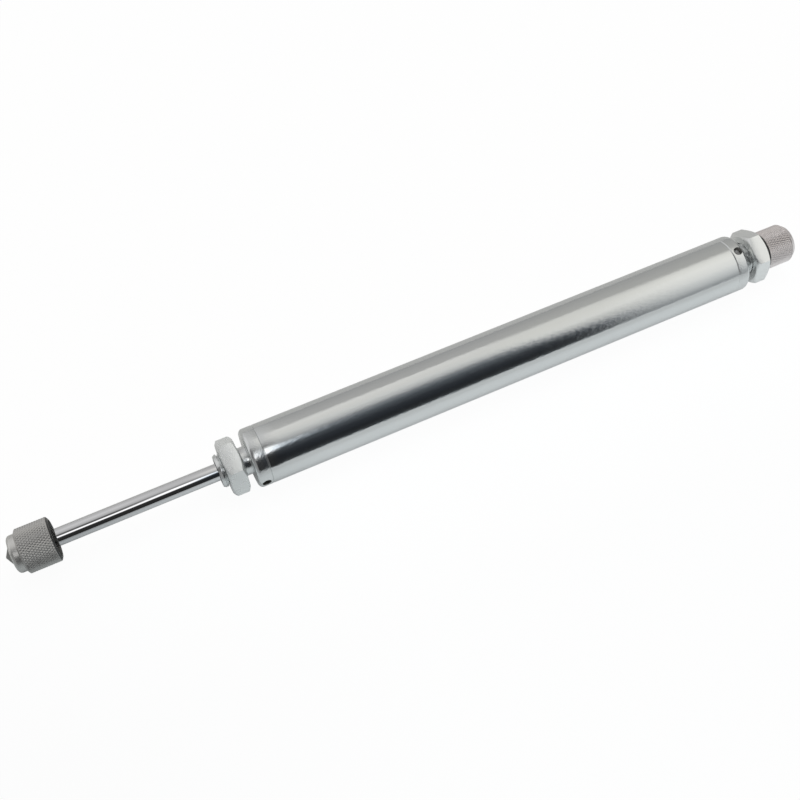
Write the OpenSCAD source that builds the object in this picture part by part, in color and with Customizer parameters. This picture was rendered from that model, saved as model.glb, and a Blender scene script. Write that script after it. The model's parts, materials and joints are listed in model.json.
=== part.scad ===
// Adjustable hydraulic shock absorber with a knurled striker head, two threaded
// necks with lock nuts, and a knurled adjusting knob at the rear.
// The axis lies along X. The rod points to -X, the knob to +X, and X = 0 is the
// front mounting shoulder. Angles around the axis are counted from -Y towards +Z.

/* [Cylinder] */
// Outside diameter of the tube and of both cap heads
tube_diameter = 28; // [27:0.5:32]
// Wall of the tube
tube_wall = 3; // [2.5:0.25:3.25]
// Length between the two mounting shoulders
body_length = 259.4; // [250:0.2:300]
// Length of a cap's head, shoulder to seam
cap_head_length = 6.6; // [6.4:0.2:9]
// Rounding of a cap's outer corner
cap_corner_radius = 2; // [1:0.25:2.5]
// Chamfer on each side of the seam between cap and tube
seam_chamfer = 0.3; // [0.26:0.02:0.4]
// Length of the thread that holds a cap in the tube
cap_thread_length = 10; // [8:0.5:12]
// Depth of that thread in the tube's wall
cap_thread_depth = 1; // [0.6:0.1:1.5]
// Length of the plain pilot behind the thread
cap_pilot_length = 5; // [4.5:0.25:6]

/* [Spanner holes] */
// Diameter of the pin spanner holes in the cap heads
spanner_hole_diameter = 4.1; // [3:0.1:4.5]
// Depth of a spanner hole, without its drill point
spanner_hole_depth = 3; // [2:0.25:3.5]
// Where the front cap's first hole points, around the axis
front_hole_angle = -3.5; // [-30:0.1:30]
// Where the rear cap's first hole points, around the axis
rear_hole_angle = 79.9; // [50:0.1:110]

/* [Necks] */
// Thread diameter of both necks
neck_diameter = 16; // [15.5:0.1:16.4]
// Length of the front neck
front_neck_length = 14.6; // [13.4:0.2:18]
// Length of the rear neck
rear_neck_length = 13.2; // [12.8:0.2:16]
// Diameter of the undercut at the shoulders
undercut_diameter = 13.25; // [13:0.25:14.5]
// Length of the undercut
undercut_length = 3; // [2.4:0.2:3.2]
// Length of the chamfer at a neck's end
neck_chamfer_length = 1.2; // [0.6:0.1:1.4]
// Depth of the chamfer at a neck's end
neck_chamfer_depth = 0.8; // [0.4:0.05:0.8]

/* [Lock nuts] */
// Width of a lock nut across its flats
nut_across_flats = 24; // [22:0.5:24]
// Height of a lock nut
nut_height = 8; // [6:0.25:8]
// Angle of the corner chamfers
nut_chamfer_angle = 30; // [15:1:35]
// Depth of the countersink at both ends of the nut's thread
nut_countersink = 0.6; // [0.3:0.05:0.8]
// Radial clearance of the nut on its neck
nut_clearance = 0.03; // [0.01:0.01:0.06]
// Distance from the front shoulder to the front nut
front_nut_gap = 3.7; // [3.3:0.1:5]
// Distance from the rear shoulder to the rear nut
rear_nut_gap = 4.8; // [3.4:0.1:4.8]
// Where a corner of the front nut points, around the axis
front_nut_angle = 47.5; // [0:0.1:60]
// Where a corner of the rear nut points, around the axis
rear_nut_angle = 36.5; // [0:0.1:60]

/* [Piston rod] */
// Diameter of the rod
rod_diameter = 8; // [7.5:0.1:8.2]
// Full travel of the rod
stroke = 75; // [50:1:90]
// How far the striker's sleeve passes over the front neck at full travel
neck_overlap = 0.5; // [0:0.1:1]
// Diameter of the stud that screws into the striker
front_stud_diameter = 6; // [5:0.25:6.5]
// Length of the stud that screws into the striker
front_stud_length = 6.5; // [5:0.25:7.5]
// Diameter of the stud that carries the piston
rear_stud_diameter = 5; // [4.5:0.1:5.5]

/* [Striker head] */
// Outside diameter of the knurled sleeve
sleeve_diameter = 20.5; // [19.5:0.5:24]
// Length of the knurled sleeve
sleeve_length = 15.3; // [13:0.1:18]
// Depth of the open recess at the back of the sleeve
recess_depth = 8; // [6:0.25:9]
// Diameter of the striker core inside the sleeve, and of the recess
core_diameter = 17.2; // [16.6:0.1:17.2]
// How far the core stands out of the sleeve
boss_length = 3.7; // [2:0.1:4]
// Rounding of the core's outer corner
boss_corner_radius = 3; // [0.6:0.1:3.1]
// Diameter of the cone at the tip
cone_diameter = 10.4; // [9:0.2:13]
// Included angle of the cone at the tip
cone_angle = 125; // [100:5:140]
// Length of the chamfer at the front of the sleeve
sleeve_chamfer_length = 0.8; // [0.5:0.1:1.2]
// Depth of the chamfer at the front of the sleeve
sleeve_chamfer_depth = 1.3; // [0.8:0.05:1.4]
// Chamfers on the rim at the back of the sleeve
rim_chamfer = 0.6; // [0.2:0.05:0.7]

/* [Rod guide and seals] */
// Outside diameter of the wiper
wiper_diameter = 12; // [11.5:0.1:12.4]
// Length of the wiper's pocket
wiper_length = 3; // [2.6:0.1:3.4]
// Length of the land between the wiper and the bush
land_length = 3; // [2:0.25:4]
// Radial gap between that land and the rod
land_gap = 0.3; // [0.2:0.05:0.4]
// Outside diameter of the guide bush
bush_diameter = 10; // [9.6:0.1:10.4]
// Length of the guide bush
bush_length = 14; // [12:0.5:16]
// Outside diameter of the rod seal
rod_seal_diameter = 14; // [13:0.25:15]
// Length of the rod seal
rod_seal_length = 5; // [4:0.25:6]
// Thickness of the washer behind the rod seal
washer_thickness = 2; // [1.5:0.25:2.5]
// Radial clearance of every running fit
running_clearance = 0.03; // [0.02:0.01:0.05]
// Depth of the O-ring grooves
o_ring_depth = 1; // [0.8:0.05:1.05]
// Width of the O-ring grooves
o_ring_width = 1.9; // [1.5:0.1:2.2]

/* [Pressure tube] */
// Outside diameter of the pressure tube
pressure_tube_diameter = 17; // [16.5:0.1:17.2]
// Wall of the pressure tube
pressure_tube_wall = 1.5; // [1.3:0.1:1.6]
// Diameter of the four oil ports near the front
port_diameter = 2; // [1.5:0.1:2.5]
// Diameter of the metering orifices
orifice_diameter = 1; // [0.6:0.1:1.4]
// Number of metering orifices along the stroke
orifice_count = 8; // [5:1:9]
// Distance of the first orifice from the piston, and of the last from the stroke's end
orifice_margin = 2; // [1.5:0.25:3]

/* [Piston] */
// Length of the piston
piston_length = 10; // [8:0.5:14]
// Width of the piston ring
piston_ring_width = 2.5; // [2:0.1:3.5]
// Depth of the piston ring's groove
piston_ring_depth = 0.85; // [0.7:0.05:0.9]
// Diameter of the oil passages through the piston
passage_diameter = 1.4; // [1:0.1:1.5]
// Number of oil passages
passage_count = 6; // [4:1:7]
// Thickness of the check plate behind the piston
plate_thickness = 0.8; // [0.6:0.1:1.2]
// Room that the check spring takes behind the plate
check_spring_length = 3.2; // [2.8:0.1:4]
// Wall of the stop tube in front of the piston
stop_tube_wall = 1.6; // [1.2:0.1:1.8]
// Outside diameter of the piston nut's collar
nut_collar_diameter = 7; // [6.6:0.1:7.2]
// Radial gap between the nut's flange, or the check plate, and the pressure tube
flange_gap = 0.6; // [0.4:0.05:0.7]
// Thickness of the piston nut's flange
nut_flange_thickness = 2; // [1.5:0.25:3]
// Gap between the piston nut's corners and the return spring
nut_corner_gap = 0.5; // [0.4:0.05:0.8]
// Height of the piston nut's hexagon
piston_nut_height = 4; // [3:0.25:5]

/* [Return spring] */
// Wire of the return spring
spring_wire = 1.2; // [1:0.05:1.3]
// Radial gap between the return spring and the pressure tube
spring_gap = 0.7; // [0.5:0.05:0.75]
// Number of turns
spring_turns = 28; // [22:1:30]
// Length left to the spring beyond its solid length at full travel
spring_reserve = 3.4; // [2:0.2:6]

/* [Valve body] */
// Length of the spigot in the pressure tube
valve_spigot_length = 4; // [3:0.5:5]
// Length of the flange that fills the tube's bore
valve_flange_length = 12; // [11:0.5:16]
// Length of the boss behind the flange
valve_boss_length = 8; // [7:0.5:9]
// Outside diameter of that boss
valve_boss_diameter = 12; // [11:0.5:14]
// Diameter of the throttle hole
throttle_diameter = 2.5; // [2.4:0.1:3]
// Length of the throttle hole
throttle_length = 8; // [7.5:0.25:8.5]
// Number of axial bypass holes in the flange
bypass_count = 4; // [3:1:8]
// Diameter of the bypass holes
bypass_diameter = 2; // [1.4:0.1:2.2]
// Thickness of the retaining ring behind the flange
retaining_ring_thickness = 1.2; // [1:0.1:1.5]
// Depth of the retaining ring's groove in the tube
retaining_groove_depth = 0.7; // [0.5:0.05:0.9]

/* [Adjuster] */
// Diameter of the metering needle's shank
needle_diameter = 6; // [5.8:0.1:6.6]
// Length of the shank
needle_shank_length = 10; // [9.5:0.25:10.5]
// Length of the needle's cone
needle_cone_length = 4.8; // [4.4:0.1:5]
// Travel of the needle from its middle setting to each end
needle_travel = 0.75; // [0.5:0.05:0.8]
// Diameter of the spindle's threaded tip
spindle_tip_diameter = 3; // [2.6:0.1:3.2]
// Diameter of the spindle's shaft through the oil
spindle_shaft_diameter = 4; // [3.6:0.1:5]
// Diameter of the spindle in the rear neck
spindle_diameter = 6; // [5.6:0.1:7]
// Diameter of the spindle's collar
collar_diameter = 10; // [9.5:0.25:11]
// Thickness of the spindle's collar
collar_thickness = 2.8; // [2:0.2:3.4]
// Depth of the pocket in the rear cap for the collar and its retainer
collar_pocket_depth = 9; // [8:0.25:10]
// Thickness of the spindle's retainer
retainer_thickness = 2.2; // [1.6:0.2:2.6]
// Diameter of the key pin
key_pin_diameter = 1.5; // [1.2:0.1:1.8]

/* [Knob] */
// Diameter of the knob
knob_diameter = 19.5; // [18:0.5:24]
// Length of the knob
knob_length = 16; // [14:0.5:20]
// Gap between the rear neck and the knob
knob_gap = 1.3; // [0.6:0.1:1.5]
// Length of the knob's end chamfer
knob_chamfer_length = 2.4; // [0.8:0.1:2.6]
// Depth of the knob's end chamfer
knob_chamfer_depth = 1.7; // [0.6:0.1:1.8]
// Diameter of the knob's set screw
set_screw_diameter = 3; // [2.5:0.5:4]
// Length of the knob's set screw
set_screw_length = 5; // [4:0.5:5.5]

/* [Foam] */
// Gap around the accumulator foam
foam_gap = 0.3; // [0.2:0.05:0.4]

/* [Hidden] */

$fn = 96;
seat_gap = 0.1;      // axial play of a captive collar
rest_gap = 0.4;      // space in front of the stop tube when the rod is out
port_land = 1.2;     // between the front cap and the oil ports
bypass_offset = 0.2; // keeps the bypass holes clear of the pressure tube's seat
edge = 0.3;          // small edge breaks
eps = 0.01;          // overlap of a cut with the open air

// Cylinder and caps
tube_r = tube_diameter / 2;
bore_r = tube_r - tube_wall;
cap_thread_r = bore_r + cap_thread_depth;
front_seam_x = cap_head_length;
rear_seam_x = body_length - cap_head_length;
spigot_length = cap_thread_length + cap_pilot_length;
front_spigot_x = front_seam_x + spigot_length;
rear_spigot_x = rear_seam_x - spigot_length;
neck_r = neck_diameter / 2;
undercut_r = undercut_diameter / 2;
front_neck_x = -front_neck_length;
rear_neck_x = body_length + rear_neck_length;
groove_r = bore_r - o_ring_depth;
groove_offset = (cap_pilot_length - o_ring_width) / 2;

// Rod guide, from the mouth of the front neck inwards
rod_r = rod_diameter / 2;
wiper_r = wiper_diameter / 2;
bush_r = bush_diameter / 2;
rod_seal_r = rod_seal_diameter / 2;
seal_lip_r = rod_r + running_clearance;
wiper_end_x = front_neck_x + wiper_length;
bush_x = wiper_end_x + land_length;
rod_seal_x = bush_x + bush_length;
washer_x = rod_seal_x + rod_seal_length;
pressure_tube_x = washer_x + washer_thickness;

// Piston group
pressure_outer_r = pressure_tube_diameter / 2;
pressure_bore_r = pressure_outer_r - pressure_tube_wall;
port_x = front_spigot_x + port_land + port_diameter / 2;
piston_x = port_x + port_diameter / 2 + rest_gap;
piston_end_x = piston_x + piston_length;
piston_r = pressure_bore_r - running_clearance;
plate_bore_r = nut_collar_diameter / 2 + 0.1;
plate_r = pressure_bore_r - flange_gap;
passage_radius = (plate_bore_r + piston_r - piston_ring_depth) / 2;
flange_x = piston_end_x + plate_thickness + check_spring_length;
spring_x = flange_x + nut_flange_thickness;
piston_nut_end_x = spring_x + piston_nut_height;
stop_tube_r = rod_r + 0.15;
spring_mean_r = pressure_bore_r - spring_gap - spring_wire / 2;
piston_nut_flats = 2 * (spring_mean_r - spring_wire / 2 - nut_corner_gap) * cos(30);

// Return spring and valve body
spring_solid_length = spring_turns * spring_wire + spring_reserve;
valve_x = spring_x + stroke + spring_solid_length;
spring_length = valve_x - spring_x;
valve_seat_x = valve_x + valve_spigot_length;
valve_flange_x = valve_seat_x + valve_flange_length;
valve_end_x = valve_flange_x + valve_boss_length;
retaining_groove_r = bore_r + retaining_groove_depth;
retaining_ring_r = bore_r - 1;
bypass_radius = (pressure_outer_r + retaining_ring_r + bypass_offset) / 2;
throttle_end_x = valve_x + throttle_length;
cross_port_x = throttle_end_x + 2;

// Adjuster
needle_r = needle_diameter / 2;
needle_bore_r = needle_r + running_clearance;
needle_tip_reach = 1.4;
needle_tip_x = throttle_end_x - needle_tip_reach;
needle_tip_r = 0.5;
needle_cone_r = throttle_diameter / 2 + 0.65;
needle_cone_x = needle_tip_x + needle_cone_length;
needle_shank_x = needle_cone_x + 1;
needle_end_x = needle_shank_x + needle_shank_length;
needle_thread_r = spindle_tip_diameter / 2 + 0.05;
needle_thread_x = needle_shank_x + 2;
key_slot_r = needle_r - 0.7;
key_pin_x = (valve_flange_x + valve_end_x) / 2;
key_slot_length = 2 * needle_travel + key_pin_diameter + 0.4;
key_slot_width = key_pin_diameter + 0.1;
spindle_tip_x = needle_thread_x + 2;
spindle_shaft_x = needle_end_x + needle_travel + 0.7;
collar_seat_x = rear_spigot_x + collar_pocket_depth;
collar_end_x = collar_seat_x - seat_gap;
collar_x = collar_end_x - collar_thickness;
retainer_end_x = collar_x - seat_gap;
retainer_x = retainer_end_x - retainer_thickness;
counterbore_r = collar_diameter / 2 + 1;
spindle_r = spindle_diameter / 2;
spindle_bore_r = spindle_r + running_clearance;
spindle_groove_x = rear_seam_x + 3;
spindle_groove_r = spindle_r - o_ring_depth;
foam_x = valve_end_x + foam_gap;
foam_end_x = rear_spigot_x - foam_gap;
knob_x = rear_neck_x + knob_gap;
knob_end_x = knob_x + knob_length;
knob_r = knob_diameter / 2;
knob_bore_depth = knob_length - 5.3;
set_screw_x = knob_x + knob_bore_depth / 2;

// Striker head, from the rim of the sleeve forwards
sleeve_rim_x = front_neck_x - stroke + neck_overlap;
sleeve_front_x = sleeve_rim_x - sleeve_length;
core_back_x = sleeve_rim_x - recess_depth;
boss_x = sleeve_front_x - boss_length;
core_r = core_diameter / 2;
sleeve_r = sleeve_diameter / 2;
cone_length = cone_diameter / 2 / tan(cone_angle / 2);

// Turns a flat profile of [radius, x] points about the X axis.
module turned() {
    rotate([0, 90, 0]) rotate_extrude() children();
}

// A plain ring or disc between two x positions.
module ring(x0, x1, outer, inner = 0) {
    turned() translate([inner, x0]) square([outer - inner, x1 - x0]);
}

// Turns children about the axis to an angle counted from -Y towards +Z.
module at_angle(angle) {
    rotate([-angle, 0, 0]) children();
}

// A round hole along -Y, from one radius out to another, turned to an angle.
module radial_hole(x, angle, diameter, from_r, to_r) {
    at_angle(angle)
        translate([x, -from_r, 0])
            rotate([90, 0, 0]) cylinder(d = diameter, h = to_r - from_r, $fn = 48);
}

// A flat piece that cuts a rounding of radius r into the corner at [edge_r, x].
// dir is 1 when the material lies on the +X side of the corner.
module corner_cut(edge_r, x, r, dir) {
    difference() {
        translate([edge_r - r, dir > 0 ? x - eps : x - r]) square([r + eps, r + eps]);
        translate([edge_r - r, x + dir * r]) circle(r, $fn = 64);
    }
}

// A hexagonal bar along X with a corner at an angle.
module hex_bar(x0, x1, flats, angle) {
    at_angle(angle)
        translate([x0, 0, 0])
            rotate([0, 90, 0])
                rotate([0, 0, 90]) cylinder(d = flats / cos(30), h = x1 - x0, $fn = 6);
}

// A coil spring along X with closed ends, as one swept solid.
module coil_spring(x0, length, mean_r, wire, turns, steps, sides) {
    wire_r = wire / 2;
    rings = turns * steps;
    travel = length - wire;
    // closed end turns: half pitch over the first and last turn
    function rise(t) =
        t < 1 ? wire * t :
        t > turns - 1 ? travel - wire * (turns - t) :
        wire + (travel - 2 * wire) * (t - 1) / (turns - 2);
    points = [
        for (i = [0 : rings], k = [0 : sides - 1])
            let (
                around = 360 * i / steps,
                section = 360 * (k + 0.5) / sides,
                r = mean_r + wire_r * cos(section)
            )
            [
                x0 + wire_r + rise(i / steps) + wire_r * sin(section),
                r * cos(around),
                r * sin(around)
            ]
    ];
    walls = [
        for (i = [0 : rings - 1], k = [0 : sides - 1])
            let (a = i * sides + k, b = i * sides + (k + 1) % sides)
            [a, b, b + sides, a + sides]
    ];
    start = [[for (k = [0 : sides - 1]) sides - 1 - k]];
    end = [[for (k = [0 : sides - 1]) rings * sides + k]];
    polyhedron(points, concat(start, walls, end));
}

// Seamless outer tube with an internal thread at each end.
module cylinder_tube() {
    color("lightsteelblue")
        turned()
            difference() {
                translate([bore_r, front_seam_x])
                    square([tube_r - bore_r, rear_seam_x - front_seam_x]);
                translate([bore_r - eps, front_seam_x - eps])
                    square([cap_thread_depth + eps, cap_thread_length + eps]);
                translate([bore_r - eps, rear_seam_x - cap_thread_length])
                    square([cap_thread_depth + eps, cap_thread_length + eps]);
                translate([bore_r - eps, valve_flange_x])
                    square([retaining_groove_depth + eps, retaining_ring_thickness]);
                seam_cut(front_seam_x);
                seam_cut(rear_seam_x);
            }
}

// The shallow V at a seam, which both the tube and the cap share.
module seam_cut(x) {
    polygon([
        [tube_r - seam_chamfer, x],
        [tube_r + eps, x - seam_chamfer - eps],
        [tube_r + eps, x + seam_chamfer + eps]
    ]);
}

// The flat outline of a cap's outside: neck at -X, shoulder at 0, then head and spigot.
module cap_outline(neck_length) {
    thread_end = cap_head_length + cap_thread_length;
    pilot_end = cap_head_length + spigot_length;
    thread_runout = (neck_r - undercut_r) * 0.6;
    difference() {
        polygon([
            [0, -neck_length],
            [neck_r - neck_chamfer_depth, -neck_length],
            [neck_r, -neck_length + neck_chamfer_length],
            [neck_r, -undercut_length - thread_runout],
            [undercut_r, -undercut_length],
            [undercut_r, 0],
            [tube_r, 0],
            [tube_r, cap_head_length],
            [cap_thread_r, cap_head_length],
            [cap_thread_r, thread_end],
            [bore_r, thread_end],
            [bore_r, pilot_end - edge],
            [bore_r - edge, pilot_end],
            [0, pilot_end]
        ]);
        corner_cut(tube_r, 0, cap_corner_radius, 1);
        seam_cut(cap_head_length);
        translate([groove_r, thread_end + groove_offset])
            square([o_ring_depth + eps, o_ring_width]);
    }
}

// Two blind spanner holes, opposite each other, with drill points.
module spanner_holes(x, angle) {
    floor_r = tube_r - spanner_hole_depth;
    hole_r = spanner_hole_diameter / 2;
    for (turn = [0, 180])
        at_angle(angle + turn)
            translate([x, 0, 0])
                rotate([90, 0, 0]) {
                    translate([0, 0, floor_r])
                        cylinder(r = hole_r, h = spanner_hole_depth + 1, $fn = 48);
                    translate([0, 0, floor_r - hole_r / 2])
                        cylinder(r1 = 0, r2 = hole_r, h = hole_r / 2 + eps, $fn = 48);
                }
}

// Front cap: threaded neck, mounting shoulder, and the stepped bore of the rod guide.
module front_cap() {
    color("gainsboro")
        difference() {
            turned() cap_outline(front_neck_length);
            ring(front_neck_x - 1, wiper_end_x, wiper_r);
            ring(wiper_end_x - 1, bush_x + 1, rod_r + land_gap);
            ring(bush_x, rod_seal_x + 1, bush_r);
            ring(rod_seal_x, washer_x + 1, rod_seal_r);
            ring(washer_x, front_spigot_x + 1, pressure_outer_r);
            spanner_holes(cap_head_length / 2, front_hole_angle);
        }
}

// Rear cap: the same outside, with the bore and counterbore of the adjusting spindle.
module rear_cap() {
    color("gainsboro")
        difference() {
            translate([body_length, 0, 0])
                mirror([1, 0, 0]) turned() cap_outline(rear_neck_length);
            ring(rear_spigot_x - 1, collar_seat_x, counterbore_r);
            ring(collar_seat_x - 1, rear_neck_x + 1, spindle_bore_r);
            spanner_holes(body_length - cap_head_length / 2, rear_hole_angle);
        }
}

// An O-ring squeezed into its groove.
module squeezed_ring(x, outer, inner) {
    round = 0.4;
    turned()
        difference() {
            translate([inner, x]) square([outer - inner, o_ring_width]);
            corner_cut(outer, x, round, 1);
            corner_cut(outer, x + o_ring_width, round, -1);
        }
}

module front_cap_o_ring() {
    color("dimgray")
        squeezed_ring(front_seam_x + cap_thread_length + groove_offset, bore_r, groove_r);
}

module rear_cap_o_ring() {
    color("dimgray")
        squeezed_ring(
            rear_seam_x - cap_thread_length - groove_offset - o_ring_width, bore_r, groove_r
        );
}

// Wiper with one scraping lip, in the mouth of the front neck.
module rod_wiper() {
    lip = 0.5;
    color("dimgray")
        turned()
            polygon([
                [wiper_r, wiper_end_x],
                [wiper_r, front_neck_x + lip],
                [rod_r + 1.1, front_neck_x + lip],
                [rod_r + 0.9, front_neck_x + wiper_length / 2],
                [seal_lip_r + 0.35, front_neck_x + 0.1],
                [seal_lip_r, front_neck_x + 0.1],
                [seal_lip_r, front_neck_x + 2 * lip],
                [rod_r + land_gap, wiper_end_x - lip],
                [rod_r + land_gap, wiper_end_x]
            ]);
}

// Bronze bush that guides the rod.
module rod_guide_bush() {
    color("darkgoldenrod")
        turned()
            polygon([
                [seal_lip_r, bush_x + edge],
                [seal_lip_r + edge, bush_x],
                [bush_r - edge, bush_x],
                [bush_r, bush_x + edge],
                [bush_r, rod_seal_x],
                [seal_lip_r + edge, rod_seal_x],
                [seal_lip_r, rod_seal_x - edge]
            ]);
}

// Lip seal whose open side faces the oil.
module rod_seal() {
    mid_r = (rod_r + rod_seal_r) / 2;
    lip = 0.7;
    color("dimgray")
        turned()
            polygon([
                [seal_lip_r + edge, rod_seal_x],
                [rod_seal_r, rod_seal_x],
                [rod_seal_r, washer_x - edge],
                [mid_r + lip, washer_x - edge],
                [mid_r, rod_seal_x + rod_seal_length * 0.4],
                [mid_r - lip, washer_x - edge],
                [seal_lip_r, washer_x - edge],
                [seal_lip_r, washer_x - rod_seal_length * 0.4],
                [seal_lip_r + edge, washer_x - rod_seal_length * 0.5]
            ]);
}

// Steel washer between the rod seal and the pressure tube.
module seal_washer() {
    color("slategray") ring(washer_x, pressure_tube_x, pressure_outer_r, rod_r + land_gap);
}

// How far along the stroke each metering orifice lies: they close up towards its end.
function orifice_x(i) =
    piston_end_x + orifice_margin
    + (stroke - 2 * orifice_margin) * (1 - pow(1 - i / orifice_count, 1.5));

// Inner tube in which the piston runs, with its ports and metering orifices.
module pressure_tube() {
    color("silver")
        difference() {
            ring(pressure_tube_x, valve_seat_x, pressure_outer_r, pressure_bore_r);
            for (angle = [0 : 90 : 270])
                radial_hole(port_x, angle, port_diameter, rod_r, bore_r);
            for (i = [0 : orifice_count - 1])
                radial_hole(orifice_x(i), 90, orifice_diameter, rod_r, bore_r);
        }
}

// Valve body: closes the pressure tube and holds the throttle and the needle.
module valve_body() {
    flange_r = bore_r - 0.05;
    boss_r = valve_boss_diameter / 2;
    color("silver")
        difference() {
            union() {
                ring(valve_x, valve_seat_x + 1, pressure_bore_r);
                ring(valve_seat_x, valve_flange_x, flange_r);
                ring(valve_flange_x - 1, valve_end_x, boss_r);
            }
            ring(valve_x - 1, throttle_end_x + 1, throttle_diameter / 2);
            ring(throttle_end_x, valve_end_x + 1, needle_bore_r);
            for (i = [0 : 3])
                radial_hole(cross_port_x, 45 + 90 * i, 2, 0, bore_r + 1);
            for (i = [0 : bypass_count - 1])
                at_angle(360 * i / bypass_count)
                    translate([valve_seat_x - 1, -bypass_radius, 0])
                        rotate([0, 90, 0])
                            cylinder(d = bypass_diameter, h = valve_flange_length + 2, $fn = 48);
            radial_hole(key_pin_x, 90, key_pin_diameter, 0, boss_r + 1);
        }
}

// Snap ring in the tube's groove, open at the bottom.
module retaining_ring() {
    color("slategray")
        difference() {
            ring(
                valve_flange_x, valve_flange_x + retaining_ring_thickness,
                retaining_groove_r, retaining_ring_r
            );
            at_angle(-90)
                translate([valve_flange_x - 1, -bore_r - 2, -2])
                    cube([retaining_ring_thickness + 2, 4, 4]);
        }
}

// Pin that keeps the needle from turning.
module key_pin() {
    color("slategray")
        radial_hole(key_pin_x, 90, key_pin_diameter, key_slot_r + 0.1, valve_boss_diameter / 2);
}

// Closed cell foam that takes up the oil which the rod displaces.
module accumulator_foam() {
    color("darkgray")
        ring(foam_x, foam_end_x, bore_r - foam_gap, spindle_shaft_diameter / 2 + 0.5);
}

// Chromed rod with a stud at each end.
module piston_rod() {
    front_r = front_stud_diameter / 2;
    rear_r = rear_stud_diameter / 2;
    color("whitesmoke")
        turned()
            polygon([
                [0, core_back_x - front_stud_length],
                [front_r - edge, core_back_x - front_stud_length],
                [front_r, core_back_x - front_stud_length + edge],
                [front_r, core_back_x],
                [rod_r, core_back_x],
                [rod_r, piston_x],
                [rear_r, piston_x],
                [rear_r, piston_nut_end_x - 2 * edge],
                [rear_r - edge, piston_nut_end_x - edge],
                [0, piston_nut_end_x - edge]
            ]);
}

// Hardened striker: a round core with a pointed tip, screwed onto the rod.
module striker_core() {
    color("darkgray")
        difference() {
            turned()
                difference() {
                    union() {
                        translate([0, boss_x]) square([core_r, core_back_x - boss_x]);
                        polygon([
                            [0, boss_x - cone_length],
                            [cone_diameter / 2, boss_x],
                            [cone_diameter / 2, boss_x + 1],
                            [0, boss_x + 1]
                        ]);
                    }
                    corner_cut(core_r, boss_x, boss_corner_radius, 1);
                }
            ring(core_back_x - front_stud_length, core_back_x + 1, front_stud_diameter / 2);
        }
}

// Knurled ring pressed over the core; its open back passes over the front neck.
module knurled_sleeve() {
    color("gray")
        turned()
            polygon([
                [core_r, sleeve_front_x],
                [sleeve_r - sleeve_chamfer_depth, sleeve_front_x],
                [sleeve_r, sleeve_front_x + sleeve_chamfer_length],
                [sleeve_r, sleeve_rim_x - rim_chamfer],
                [sleeve_r - rim_chamfer, sleeve_rim_x],
                [core_r + rim_chamfer, sleeve_rim_x],
                [core_r, sleeve_rim_x - rim_chamfer]
            ]);
}

// Spacer that sets how far the rod comes out, slotted where it meets the piston.
module stop_tube() {
    slot_width = passage_diameter + 0.4;
    color("silver")
        difference() {
            ring(pressure_tube_x + rest_gap, piston_x, stop_tube_r + stop_tube_wall, stop_tube_r);
            for (i = [0 : passage_count - 1])
                at_angle(360 * i / passage_count)
                    translate([piston_x - 2, -pressure_bore_r, -slot_width / 2])
                        cube([3, pressure_bore_r - rod_r + 0.4, slot_width]);
        }
}

// Piston with a ring groove and axial oil passages.
module piston() {
    groove_x = piston_x + (piston_length - piston_ring_width) / 2;
    color("silver")
        difference() {
            turned()
                difference() {
                    translate([rear_stud_diameter / 2, piston_x])
                        square([piston_r - rear_stud_diameter / 2, piston_length]);
                    corner_cut(piston_r, piston_x, edge, 1);
                    corner_cut(piston_r, piston_end_x, edge, -1);
                    translate([piston_r - piston_ring_depth, groove_x])
                        square([piston_ring_depth + 1, piston_ring_width]);
                }
            for (i = [0 : passage_count - 1])
                at_angle(360 * i / passage_count)
                    translate([piston_x - 1, -passage_radius, 0])
                        rotate([0, 90, 0])
                            cylinder(d = passage_diameter, h = piston_length + 2, $fn = 48);
        }
}

// Slide ring in the piston's groove.
module piston_ring() {
    groove_x = piston_x + (piston_length - piston_ring_width) / 2;
    color("ivory")
        ring(
            groove_x, groove_x + piston_ring_width,
            pressure_bore_r - running_clearance / 2, piston_r - piston_ring_depth
        );
}

// Thin plate that shuts the oil passages when the rod is pushed in.
module check_plate() {
    color("steelblue") ring(piston_end_x, piston_end_x + plate_thickness, plate_r, plate_bore_r);
}

// Light spring that holds the check plate on the piston.
module check_spring() {
    color("lightslategray")
        coil_spring(
            piston_end_x + plate_thickness + 0.02, check_spring_length - 0.04,
            (plate_r + plate_bore_r) / 2, 0.6, 3.5, 16, 6
        );
}

// Nut that clamps the piston: a collar for the plate, a spring flange and a hexagon.
module piston_nut() {
    color("slategray")
        difference() {
            union() {
                ring(piston_end_x, flange_x + 1, nut_collar_diameter / 2);
                ring(flange_x, spring_x, plate_r);
                hex_bar(spring_x - 1, piston_nut_end_x, piston_nut_flats, 30);
            }
            ring(piston_end_x - 1, piston_nut_end_x + 1, rear_stud_diameter / 2);
        }
}

// Spring that brings the rod back out.
module return_spring() {
    color("lightslategray")
        coil_spring(
            spring_x + 0.02, spring_length - 0.04,
            spring_mean_r, spring_wire, spring_turns, 16, 6
        );
}

// Needle whose cone throttles the oil; it slides along its key.
module metering_needle() {
    color("goldenrod")
        difference() {
            turned()
                polygon([
                    [0, needle_tip_x],
                    [needle_tip_r, needle_tip_x],
                    [needle_cone_r, needle_cone_x],
                    [needle_r - edge, needle_shank_x],
                    [needle_r, needle_shank_x + edge],
                    [needle_r, needle_end_x],
                    [0, needle_end_x]
                ]);
            ring(needle_thread_x, needle_end_x + 1, needle_thread_r);
            at_angle(90)
                translate([key_pin_x - key_slot_length / 2, -needle_r - 1, -key_slot_width / 2])
                    cube([key_slot_length, 1 + needle_r - key_slot_r, key_slot_width]);
        }
}

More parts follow.
